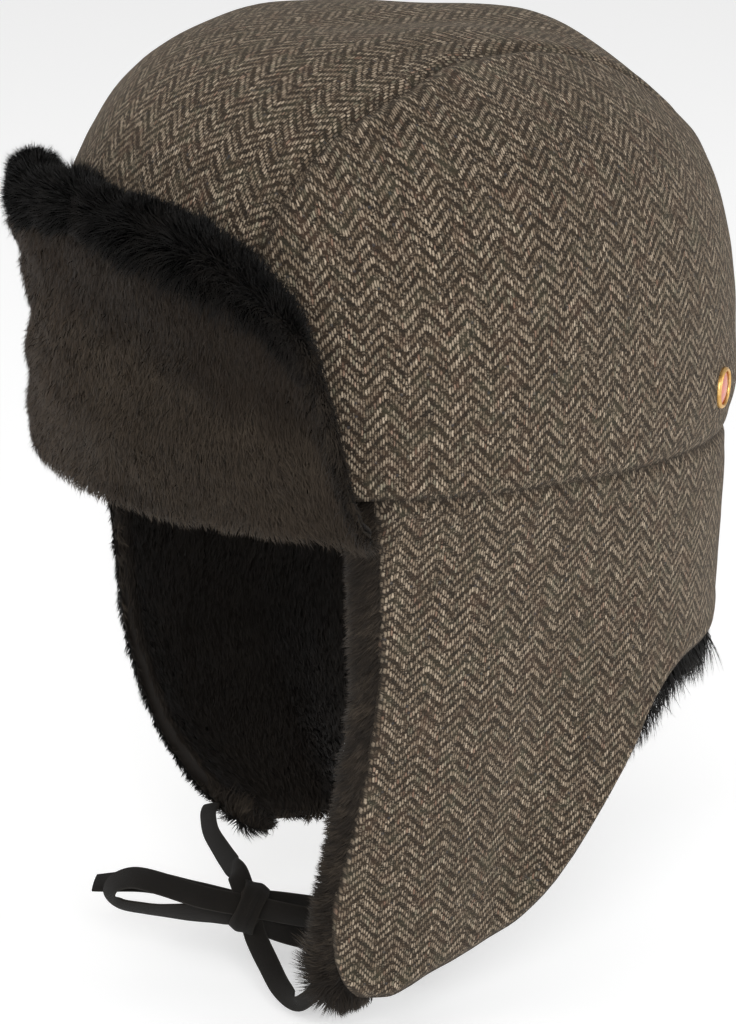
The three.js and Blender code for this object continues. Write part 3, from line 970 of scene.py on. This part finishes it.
def make_centre():
    stations, columns = 150, 50
    fine = SEAM_FRONT + (SEAM_BACK - SEAM_FRONT) * eased(400, 0.9)
    top = seam_share(fine)
    # low down at the back the seam runs straight down to the rim
    fine = np.concatenate([fine, np.full(80, SEAM_BACK)])
    top = np.concatenate([top, np.linspace(top[-1], 0, 81)[1:]])
    run = arc_length(crown_at(fine, top))
    wanted = run[-1] * eased(stations, 0.5)
    azimuth = np.interp(wanted, run, fine)
    radius = 1 - np.interp(wanted, run, top)
    across = 2 * eased(columns, 0.75) - 1
    b, r = np.meshgrid(across, radius)
    front = np.where(azimuth < 90, azimuth, 180 - azimuth)[:, None]
    toward = np.where(azimuth < 90, -1.0, 1.0)[:, None]
    angle = np.radians(front * b)
    arc_x, arc_y = r * np.sin(angle), toward * r * np.cos(angle)
    edge = np.radians(front)
    chord_x, chord_y = b * r * np.sin(edge), toward * r * np.cos(edge) + 0 * b
    bend = 1 - smoothstep(1 - r, 0.0, 0.55)
    x, y = arc_x * bend + chord_x * (1 - bend), arc_y * bend + chord_y * (1 - bend)
    azimuths, share = np.degrees(np.arctan2(x, -y)), 1 - np.hypot(x, y)
    outer, inner, dark = crown_cloth(azimuths, share)
    plain = crown_disc(x, y)
    height = 30.0
    turn = np.arctan2(plain[..., 2] - height, -plain[..., 1])
    profile_turn, profile_run = centre_profile(height)
    v = np.interp(turn, profile_turn, profile_run)
    u = 100 * np.arcsin(np.clip(plain[..., 0] / 100, -1, 1))
    weave = np.stack([u + CENTRE_CUT[0], v + CENTRE_CUT[1], dark], -1)
    tweed_piece("crown_center_panel", outer, inner, weave)


def centre_profile(height):
    """Arc length over the crown's middle line against the angle about its centre."""
    y = np.linspace(-1, 1, 800)
    points = crown_disc(np.zeros_like(y), y)
    turn = np.arctan2(points[:, 2] - height, -points[:, 1])
    run = arc_length(points)
    keep = np.concatenate([[True], np.diff(turn) > 1e-6])
    order = np.argsort(turn[keep])
    return turn[keep][order], run[keep][order]


def flap_cloth(side, u, t):
    azimuth, drop = flap_shares(side, u, t, 0)
    point, normal = flap_face(side, azimuth, drop), flap_normal(side, azimuth, drop)
    rim, hem = drop, lower_drop(side, azimuth) - drop
    front_edge = np.radians(azimuth - front_azimuth(drop)) * plan_radius(azimuth)
    nape = np.radians(180 - azimuth) * plan_radius(azimuth)
    relief = valley(rim, point, 4) + valley(nape, point, 6)
    edge = np.minimum(np.maximum(front_edge, 0), np.maximum(hem * 0.8, 0))
    relief = relief - 1.5 * bell(edge, 1.6) + 0.3 * bell(edge, 2.5, 5)
    relief = relief + 0.3 * noise(point, 9, 15) * bell(edge, 7)
    relief = relief + soft_form(point, smoothstep(rim, 0, 20) * 1.1)
    relief = relief - 1.1 * smoothstep(azimuth, 105, 130) * bell(rim, 6)
    outer = point + normal * relief[..., None]
    # painted shade along the seams and along the turned-in front edge and hem
    dark = np.maximum(painted_rim_shade(point, rim), 0.5 * bell(nape, SEAM_SHADE))
    dark = np.maximum(dark, 0.95 * bell(edge, HEM_SHADE))
    return azimuth, drop, outer, outer - normal * CLOTH, dark


def make_flap(name, side):
    u, t = np.meshgrid(eased(116, 0.7) ** 0.9, eased(92, 0.6))
    azimuth, drop, outer, inner, dark = flap_cloth(side, u, t)
    radius = np.hypot(outer[..., 0], outer[..., 1])
    around = (plan_arc(azimuth) - plan_arc(85)) * radius / plan_radius(azimuth)
    weave = np.stack([side * around + FLAP_CUT[0], -drop * 1.01 + FLAP_CUT[1], dark], -1)
    tweed_piece(name, outer, inner, weave)


make_side("crown_side_left", LEFT)
make_side("crown_side_right", RIGHT)
make_centre()
make_flap("ear_flap_left", LEFT)
make_flap("ear_flap_right", RIGHT)


# ---------------- fur

# How many strands: more where the photo's side shows them. Linings: pile, then trim.
FACE_STRANDS = 62000
ROLL_STRANDS = 46000
CROWN_STRANDS = 17000
LEFT_STRANDS = (24000, 30000)
RIGHT_STRANDS = (46000, 11000)
# Tone, random number and warmth of the skin under the strands
SKIN_STRAND = (0.12, 0.5, 0.0)


def scatter(surface, count, rng, weight=None, columns=240, rows=110):
    """Random spots on a surface of shares, evenly by area, and the surface's axes there."""
    u, t = np.meshgrid(np.linspace(0, 1, columns + 1), np.linspace(0, 1, rows + 1))
    points = surface(u, t)
    du, dt = points[:-1, 1:] - points[:-1, :-1], points[1:, :-1] - points[:-1, :-1]
    area = np.linalg.norm(np.cross(du, dt), axis=-1)
    if weight is not None:
        area = area * weight(u[:-1, :-1], t[:-1, :-1])
    area = area.ravel() / area.sum()
    pick = np.searchsorted(np.cumsum(area), rng.random(count)).clip(0, len(area) - 1)
    row, column = pick // columns, pick % columns
    a, b = rng.random(count), rng.random(count)
    spot = points[row, column] + du[row, column] * a[:, None] + dt[row, column] * b[:, None]
    along_u, along_t = unit(du[row, column]), unit(dt[row, column])
    share_u, share_t = (column + a) / columns, (row + b) / rows
    return share_u, share_t, spot, unit(np.cross(along_u, along_t)), along_u, along_t


def nearest_of(spots, seeds):
    tree = KDTree(len(seeds))
    for k, seed in enumerate(seeds):
        tree.insert(seed, k)
    tree.balance()
    return np.array([tree.find(spot)[1] for spot in spots.tolist()])


def strands(spot, normal, flow, length, rise, tone, rng, width=0.34, spread=0.22,
            clump_of=22, clump=0.5, warm=0.0, curl=0.0, glint=0.22):
    """Tapered strands of three triangles each, gathered into tufts, and their tones."""
    count = len(spot)
    length = length * rng.uniform(0.7, 1.12, count)
    rise = np.broadcast_to(rise, count)[:, None]
    loose = rng.normal(0, spread, (count, 3))
    start = unit(normal * rise + flow * (1 - rise) + loose)
    finish = unit(normal * rise * 0.3 + flow + loose * 1.5)
    half = (length / 2)[:, None]
    middle = spot + start * half
    tip = middle + finish * half
    seeds = rng.choice(count, max(2, count // clump_of), replace=False)
    near = nearest_of(spot, spot[seeds].tolist())
    sway = rng.normal(0, 1, (len(seeds), 3)) * curl
    goal = tip[seeds][near] + sway[near]
    pull = (clump * rng.uniform(0.4, 1.0, count))[:, None]
    middle = middle + (goal - tip) * pull * 0.3
    tip = tip + (goal - tip) * pull
    facing = normal + rng.normal(0, 0.35, (count, 3))
    side = unit(np.cross(tip - spot, facing)) * (width * rng.uniform(0.7, 1.2, count) / 2)[:, None]
    points = np.stack([spot - side, spot + side, middle - side * 0.85, middle + side * 0.85, tip], 1)
    base = np.arange(count)[:, None] * 5
    shape = np.array([[0, 1, 3], [0, 3, 2], [2, 3, 4]])
    faces = (base[:, :, None] + shape[None]).reshape(-1, 3)
    tuft = rng.uniform(0.75, 1.15, len(seeds))[near]
    tone = np.broadcast_to(tone, count) * tuft * rng.uniform(0.8, 1.15, count)
    tones = np.stack([tone * 0.35, tone * 0.35, tone * 0.8, tone * 0.8, tone], 1)
    chance = np.repeat(rng.random(count), 5)
    warms = np.repeat(np.broadcast_to(warm, count), 5)
    strand = np.stack([np.clip(tones.ravel(), 0, 1), chance, warms], -1)
    # strands are lit like the pile that they lie in, each a little its own way
    lit = unit(normal + 0.35 * unit(tip - spot) + rng.normal(0, glint, (count, 3)))
    return points.reshape(-1, 3), faces, strand, np.repeat(lit, 5, axis=0)


def fur_piece(name, skins, coats, material, nodes):
    """One piece from its skins (closed walls) and its coats of strands."""
    parts = [(*skin, np.tile(SKIN_STRAND, (len(skin[0]), 1))) for skin in skins] + coats
    starts = np.cumsum([0] + [len(part[0]) for part in parts])
    faces = []
    for part, start in zip(parts, starts):
        faces += (part[1] + start).tolist()
    mesh = bpy.data.meshes.new(name)
    mesh.from_pydata((np.concatenate([part[0] for part in parts]) * MM).tolist(), [], faces)
    mark(mesh, "strand", np.concatenate([part[2] for part in parts]))
    mesh.shade_smooth()
    # skins keep their own normals, and strands bring theirs
    own = np.zeros(len(mesh.vertices) * 3, np.float32)
    mesh.vertex_normals.foreach_get("vector", own)
    own = own.reshape(-1, 3)[:starts[len(skins)]]
    shown = np.concatenate([own] + [coat[3] for coat in coats])
    mesh.normals_split_custom_set_from_vertices(shown.tolist())
    add_piece(name, mesh, material, nodes)


def grid(columns, rows):
    return np.meshgrid(np.linspace(0, 1, columns + 1), np.linspace(0, 1, rows + 1))


BROW_END = BROW[-1][0]


def brow_azimuth(u):
    """Azimuth at a share of the front flap's way from its right end to its left."""
    return BROW_END * (2 * u - 1)


def brow_surface(depth, on_back=False):
    """The front flap's face, sunk by depth, or its back, from right end to left."""
    def at(u, t):
        azimuth = brow_azimuth(u)
        a = np.abs(azimuth)
        t_in = 0.03 + 0.94 * t
        sunk = brow_thick(t_in) if on_back else depth
        radius = plan_radius(azimuth) + brow_face(t_in) - sunk
        point = polar(azimuth, radius, brow_low(a) + (brow_high(a) - brow_low(a)) * t_in)
        if not on_back:
            sway = 1.6 * noise(point, 26, 31) + 0.8 * noise(point, 11, 32)
            far_side = smoothstep(-azimuth, 5, 22)
            sway = sway + 0.8 * np.sin(point[..., 2] / 3.0 + 0.8) * far_side
            sway = sway + (2.6 * bell(point[..., 2], 5, -7) - 0.6) * far_side
            point = point + polar(azimuth, sway * smoothstep(np.minimum(u, 1 - u), 0, 0.06), 0)
        return point
    return at


# Dark partings in the front flap's pile: azimuth, height, their reach along and up
PARTINGS = [(29, 42, 2.0, 11), (12, -4, 7, 4), (37, 44, 2.2, 10), (41.5, 33, 2.4, 13)]


def make_front_flap(rng):
    u, t = grid(90, 26)
    sunk = 3.4
    skin = wall(brow_surface(sunk)(u, t), brow_surface(0, True)(u, t))
    s_u, s_t, spot, normal, along, upward = scatter(
        brow_surface(sunk), FACE_STRANDS, rng, lambda _, b: b < 0.86)
    normal = turned_to(normal, spot * [1, 1, 0])
    down = -upward
    near_end = smoothstep(s_u, 0.8, 1.0)[:, None]
    swirl = 0.45 * noise(spot, 17, 41)[:, None]
    flow = unit(down * (1 - 0.35 * near_end) + along * (0.6 * near_end + swirl))
    low_edge = 1 - smoothstep(s_t, 0.0, 0.08)
    length = 4.0 + 0.9 * noise(spot, 6, 46) + 4.5 * near_end[:, 0] ** 2
    rise = 0.42 + 0.1 * low_edge
    top_edge = s_t + 0.06 * noise(spot, 11, 43) + 0.05 * noise(spot, 4, 44)
    tone = 0.46 + 0.1 * noise(spot, 15, 42) + 0.07 * noise(spot, 3.5, 45)
    round_at = brow_azimuth(s_u)
    near = smoothstep(round_at, 5, 35)
    top_edge = top_edge + 0.08 + 0.1 * near - 0.26 * smoothstep(round_at, 42, 50)
    # painted highlight: the low_edge term lightens the pile along its lower edge, as plush catching
    # light at a grazing angle
    tone = tone * (1 - 0.33 * near) + 0.07 * low_edge
    tone = tone * (1 - 0.8 * smoothstep(top_edge, 0.6, 0.76))
    # partings, where the darker underfur shows
    partings = 0
    for azimuth, high, along_reach, high_reach in PARTINGS:
        off = (round_at - azimuth + 0.5 * noise(spot, 7, 47)) / along_reach
        level = (spot[:, 2] - high + 2.5 * noise(spot, 6, 48)) / high_reach
        partings = partings + np.exp(-(off**2) - level**2)
    tone = tone * (1 - 0.6 * np.clip(partings, 0, 1))
    warm = 0.3 + 0.5 * smoothstep(-spot[:, 0], -40, 60)
    hairs = strands(spot, normal, flow, length, rise, tone, rng, warm=warm, width=0.25,
                    spread=0.2, clump_of=7, clump=0.25, curl=0.25, glint=0.3)
    fur_piece("front_flap_fur", [skin], [hairs], FACE_FUR, ["front_flap"])


def make_roll(rng):
    """The dark fluffy roll along the front flap's upper edge."""
    def crest(u, t):
        azimuth = brow_azimuth(u)
        a = np.abs(azimuth)
        turn = np.pi * (t * 1.25 - 0.2)
        high = brow_high(a) + 1.6 * bell(azimuth, 9, -22)
        high = high - 2.5 * bell(azimuth, 5, -4)
        size = 0.3 + 0.7 * smoothstep(high, 4, 52)
        inset = 6 + 4.5 * smoothstep(-azimuth, 4, 26)
        radius = plan_radius(azimuth) + brow_face(0.93) - inset + 5.2 * size * np.cos(turn)
        return polar(azimuth, radius, high - 6 * size + 6 * size * np.sin(turn))

    s_u, s_t, spot, _, along, _ = scatter(crest, ROLL_STRANDS, rng)
    middle = crest(s_u, np.full_like(s_t, 0.56))
    centre = middle - np.array([0, 0, 6.0])
    outward = unit(spot - centre)
    flow = unit(outward + 0.5 * along * noise(spot, 12, 51)[:, None] + [0, 0, -0.25])
    azimuth = brow_azimuth(s_u)
    fade = smoothstep(brow_high(np.abs(azimuth)), -12, 30)
    lobed = 1 + 0.35 * noise(spot, 7, 54)
    length = (6.4 + 2.4 * noise(spot, 9, 52)) * (0.55 + 0.45 * fade) * lobed
    length = length * (1 - 0.4 * smoothstep(-azimuth, 6, 24))
    # the near half hangs over the face in longer tufts
    hanging = smoothstep(azimuth, 2, 26) * smoothstep(s_t, 0.55, 0.25)
    length = length * (1 + hanging * (0.55 + 0.5 * noise(spot, 8, 56)))
    tone = 0.22 + 0.2 * noise(spot, 8, 53)
    low_down = smoothstep(azimuth, 41, 49)
    # paler, wispy tufts low down on the near half
    wisps = smoothstep(noise(spot, 5, 55), 0.2, 0.8) * smoothstep(azimuth, 20, 32)
    tone = tone + 0.7 * wisps * smoothstep(s_t, 0.45, 0.2)
    tone = tone * (1 - low_down) + 0.9 * low_down
    length = length * (1 - 0.35 * low_down)
    flow = unit(flow + np.stack([0 * azimuth, 0 * azimuth, -1.4 * low_down], -1))
    hairs = strands(spot, outward, flow, length, 0.6, tone, rng, width=0.26, spread=0.24,
                    clump_of=40, clump=0.38, curl=1.0)
    fur_piece("front_flap_roll", [], [hairs], ROLL_FUR, [])


# How thick the linings' skins are, in the flaps and in the crown
SKIN = 6.0
CROWN_SKIN = 2.5


def lining_surface(side, inward):
    """The lining's skin: its outer face, or the face inside; its edges are rounded off."""
    def at(u, t):
        reach = TRIM_REACH
        azimuth, drop = flap_shares(side, u, t, reach)
        low = lower_drop(side, azimuth + reach * (1 - u))
        hem_reach = -1.0 + 4.0 * smoothstep(azimuth, 116, 132) + 6.5 * smoothstep(azimuth, 60, 50)
        hem_reach = hem_reach + 8.0 * bell(azimuth, 8, 120) * (side == LEFT)
        hem_reach = hem_reach + 4.0 * bell(azimuth, 18, 92) * (side == RIGHT)
        drop = drop * (1 + hem_reach / low)
        narrow = 2.0 * smoothstep(drop, 110, 40) * smoothstep(drop, 8, 30) * (side == RIGHT)
        azimuth = azimuth + narrow * (1 - smoothstep(u, 0, 0.15))
        front = np.radians(azimuth - (front_azimuth(drop) - reach + narrow)) * plan_radius(azimuth)
        edge = np.clip(np.minimum(front, (low + hem_reach) - drop) / 4.5, 0, 1)
        bend = 1 - np.sqrt(np.maximum(1 - (1 - edge) ** 2, 0))
        depth = LINING_OUTER + (SKIN / 2) * bend
        if inward:
            depth = LINING_OUTER + SKIN - (SKIN / 2) * bend
        azimuth = azimuth - 0.004 * depth * smoothstep(azimuth, 150, 180) * 8
        return flap_face(side, azimuth, drop) \
            - flap_normal(side, azimuth, drop) * depth[..., None]
    return at


def lining_pile(inner, count, rng):
    """The pile inside, lying down and forward."""
    s_u, s_t, spot, normal, along, down = scatter(inner, count, rng)
    normal = turned_to(normal, -spot * [1, 1, 0])
    flow = unit(down - along * 0.45 + along * 0.35 * noise(spot, 20, 61)[:, None])
    edge = smoothstep(s_u, 0.06, 0.0) + smoothstep(s_t, 0.965, 1.0)
    tone = 0.24 + 0.08 * noise(spot, 16, 62) + 0.12 * smoothstep(s_t, 0.6, 1.0)
    tone = tone + 0.3 * np.clip(edge, 0, 1)
    return strands(spot, normal, flow, 4.2, 0.35, tone, rng, width=0.4, spread=0.12,
                   clump_of=10, clump=0.3, curl=0.2)


def lining_trim(outer, side, count, rng):
    """The pile that shows past the cloth's edges, brushed forward and down."""
    s_u, s_t, spot, normal, along, down = scatter(
        outer, count, rng, lambda a, b: (a < 0.09) + 0.8 * (b > 0.955))
    normal = turned_to(normal, spot * [1, 1, 0])
    at_hem = smoothstep(s_t, 0.95, 0.965) * smoothstep(s_u, 0.03, 0.09)
    behind = at_hem * smoothstep(s_u, 0.57, 0.63) * smoothstep(s_u, 0.94, 0.86)
    flow = unit(-along * (1 - at_hem)[:, None] + down * (0.75 + at_hem)[:, None]
                + 0.25 * down * noise(spot, 9, 64)[:, None] + 0.7 * normal * behind[:, None])
    shy = smoothstep(s_u, 0.1, 0.2) * smoothstep(s_u, 0.58, 0.5) * (side == LEFT)
    length = 5.6 * (1 - 0.6 * shy) + 1.3 * noise(spot, 7, 65)
    length = length + 7.5 * smoothstep(s_t, 0.9, 0.97) * smoothstep(s_u, 0.1, 0.03)
    length = length + (6.0 + 3.0 * smoothstep(s_u, 0.68, 0.78)) * behind
    length = length * (0.8 if side == RIGHT else 1.0)
    tone = 0.66 + 0.14 * noise(spot, 8, 63) + 0.1 * noise(spot, 2.5, 66)
    tone = tone * (1 - 0.75 * smoothstep(s_u, 0.3, 0.55))
    return strands(spot, normal, flow, length, 0.3, tone, rng, width=0.3, spread=0.14,
                   clump_of=16, clump=0.45, curl=0.5)


def make_lining(name, side, rng, inside, edge):
    u, t = np.meshgrid(np.linspace(0, 1, 91) ** 1.5, 1 - (1 - np.linspace(0, 1, 61)) ** 1.3)
    outer, inner = lining_surface(side, False), lining_surface(side, True)
    skin = wall(outer(u, t), inner(u, t))
    coats = [lining_pile(inner, inside, rng), lining_trim(outer, side, edge, rng)]
    fur_piece(f"{name}_fur", [skin], coats, LINING_FUR, [name])


def make_crown_lining(rng):
    u, t = grid(96, 30)

    def at(depth):
        return lambda a, b: crown_at(a * 360 - 180, np.minimum(b * 0.999, 0.999), depth)

    outer, inner = at(LINING_OUTER), at(LINING_OUTER + CROWN_SKIN)
    skin = wall(outer(u, t), inner(u, t))
    _, _, spot, normal, along, upward = scatter(inner, CROWN_STRANDS, rng)
    normal = turned_to(normal, [0, 0, 20.0] - spot)
    flow = unit(-upward + 0.4 * along * noise(spot, 20, 71)[:, None])
    tone = 0.42 + 0.2 * noise(spot, 13, 72)
    pile = strands(spot, normal, flow, 5.0, 0.4, tone, rng, width=0.7, clump_of=12, clump=0.4)
    fur_piece("crown_lining_fur", [skin], [pile], LINING_FUR, ["crown_lining"])


make_front_flap(np.random.default_rng(11))
make_roll(np.random.default_rng(12))
make_lining("flap_lining_left", LEFT, np.random.default_rng(13), *LEFT_STRANDS)
make_lining("flap_lining_right", RIGHT, np.random.default_rng(14), *RIGHT_STRANDS)
make_crown_lining(np.random.default_rng(15))


# ---------------- the stud

def metal_material():
    n = Look("gilt")
    place = n.place()
    base = n.mix(n.ramp(n.noise(place, 400, 3), 0.3, 0.7), colour(196, 150, 84), colour(224, 184, 118))
    return n.finish({
        "Base Color": base, "Normal": n.bump(n.noise(place, 1500), 0.00005), "Metallic": 1.0,
        "Roughness": n.ramp(n.noise(place, 700), -0.6, 2.2),
    })


def enamel_material():
    n = Look("enamel")
    place = n.place()
    base = n.mix(n.ramp(n.noise(place, 260), 0.3, 0.7), colour(176, 66, 40), colour(206, 92, 52))
    return n.finish({
        "Base Color": base, "Normal": n.bump(n.noise(place, 900), 0.00004), "Roughness": 0.28,
        "Coat Weight": 0.4,
    })


def turned(name, profile, axis_at, axis, material):
    """A turned profile of radius and height about the stud's axis, 96 steps round."""
    steps = 96
    turn = np.array(Vector((0, 0, 1)).rotation_difference(Vector(axis)).to_matrix())
    angles = np.linspace(0, 2 * np.pi, steps, endpoint=False)
    rings = [np.stack([r * np.cos(angles), r * np.sin(angles), np.full(steps, h)], -1)
             for r, h in profile]
    points = np.concatenate(rings) @ turn.T + axis_at
    faces = quads(np.arange(len(profile) * steps).reshape(-1, steps), closed=True)
    mesh_piece(f"{name}_{material.name}", points, faces, material, name, 35)


def rounded(profile, steps=4):
    """A profile with its corners rounded off by a quadratic through each."""
    out = [profile[0]]
    for a, b, c in zip(profile, profile[1:], profile[2:]):
        a, b, c = np.array(a, float), np.array(b, float), np.array(c, float)
        start, end = b + (a - b) * 0.3, b + (c - b) * 0.3
        for s in np.linspace(0, 1, steps):
            out.append(tuple(start * (1 - s) ** 2 + 2 * b * s * (1 - s) + end * s**2))
    out.append(profile[-1])
    return out


STUD_AZIMUTH = 134.0
STUD_LIFT = 0.06


def make_stud():
    at = crown_point(STUD_AZIMUTH, STUD_LIFT)
    above = crown_point(STUD_AZIMUTH, STUD_LIFT + 0.04) - at
    beside = crown_point(STUD_AZIMUTH + 4, STUD_LIFT) - at
    axis = unit(np.cross(beside, above))
    at = at + axis * 0.3
    hole = BADGE_RADIUS - 1.2
    rim = rounded([(hole, 0), (BADGE_RADIUS, 0), (BADGE_RADIUS, 1.4), (BADGE_RADIUS - 0.6, 2),
                   (hole, 1.7), (hole, 0.001)])
    face = rounded([(0.0001, 0), (hole - 0.1, 0), (hole - 0.1, 1.2), (2.4, 1.6), (0.0001, 1.7)])
    turned("badge_rim", rim, at, axis, metal_material())
    turned("badge_face", face, at, axis, enamel_material())


make_stud()


# ---------------- floor and light

def make_stage():
    low = cad_box[0][2]
    bpy.ops.mesh.primitive_plane_add(size=12, location=(0, 0, low - 0.004))
    floor = bpy.context.object
    floor.name = "floor"
    floor.data.materials.append(Look("floor").finish({
        "Base Color": (0.92, 0.92, 0.92, 1), "Roughness": 0.9,
        "Emission Color": (1, 1, 1, 1), "Emission Strength": 0.27,
    }))


# name, place, size, power in watts
LIGHTS = [
    ("key", (1.3, -0.9, 0.75), 1.1, 17),
    ("fill", (-0.2, -1.5, 0.9), 1.2, 8),
    ("side", (1.2, 1.0, 0.5), 1.2, 8),
]
LIGHT_AIM = (0, 0, -0.02)
WORLD_STRENGTH = 0.56


def make_light():
    world = bpy.data.worlds.new("studio")
    bpy.context.scene.world = world
    world.use_nodes = True
    background = world.node_tree.nodes["Background"]
    background.inputs["Color"].default_value = (1, 1, 1, 1)
    background.inputs["Strength"].default_value = WORLD_STRENGTH
    for name, place, size, power in LIGHTS:
        data = bpy.data.lights.new(name, "AREA")
        data.shape = "DISK"
        data.size = size
        data.energy = power
        aimed(name, data, place, LIGHT_AIM)
    bpy.context.scene.view_settings.view_transform = "Standard"


make_stage()
make_light()
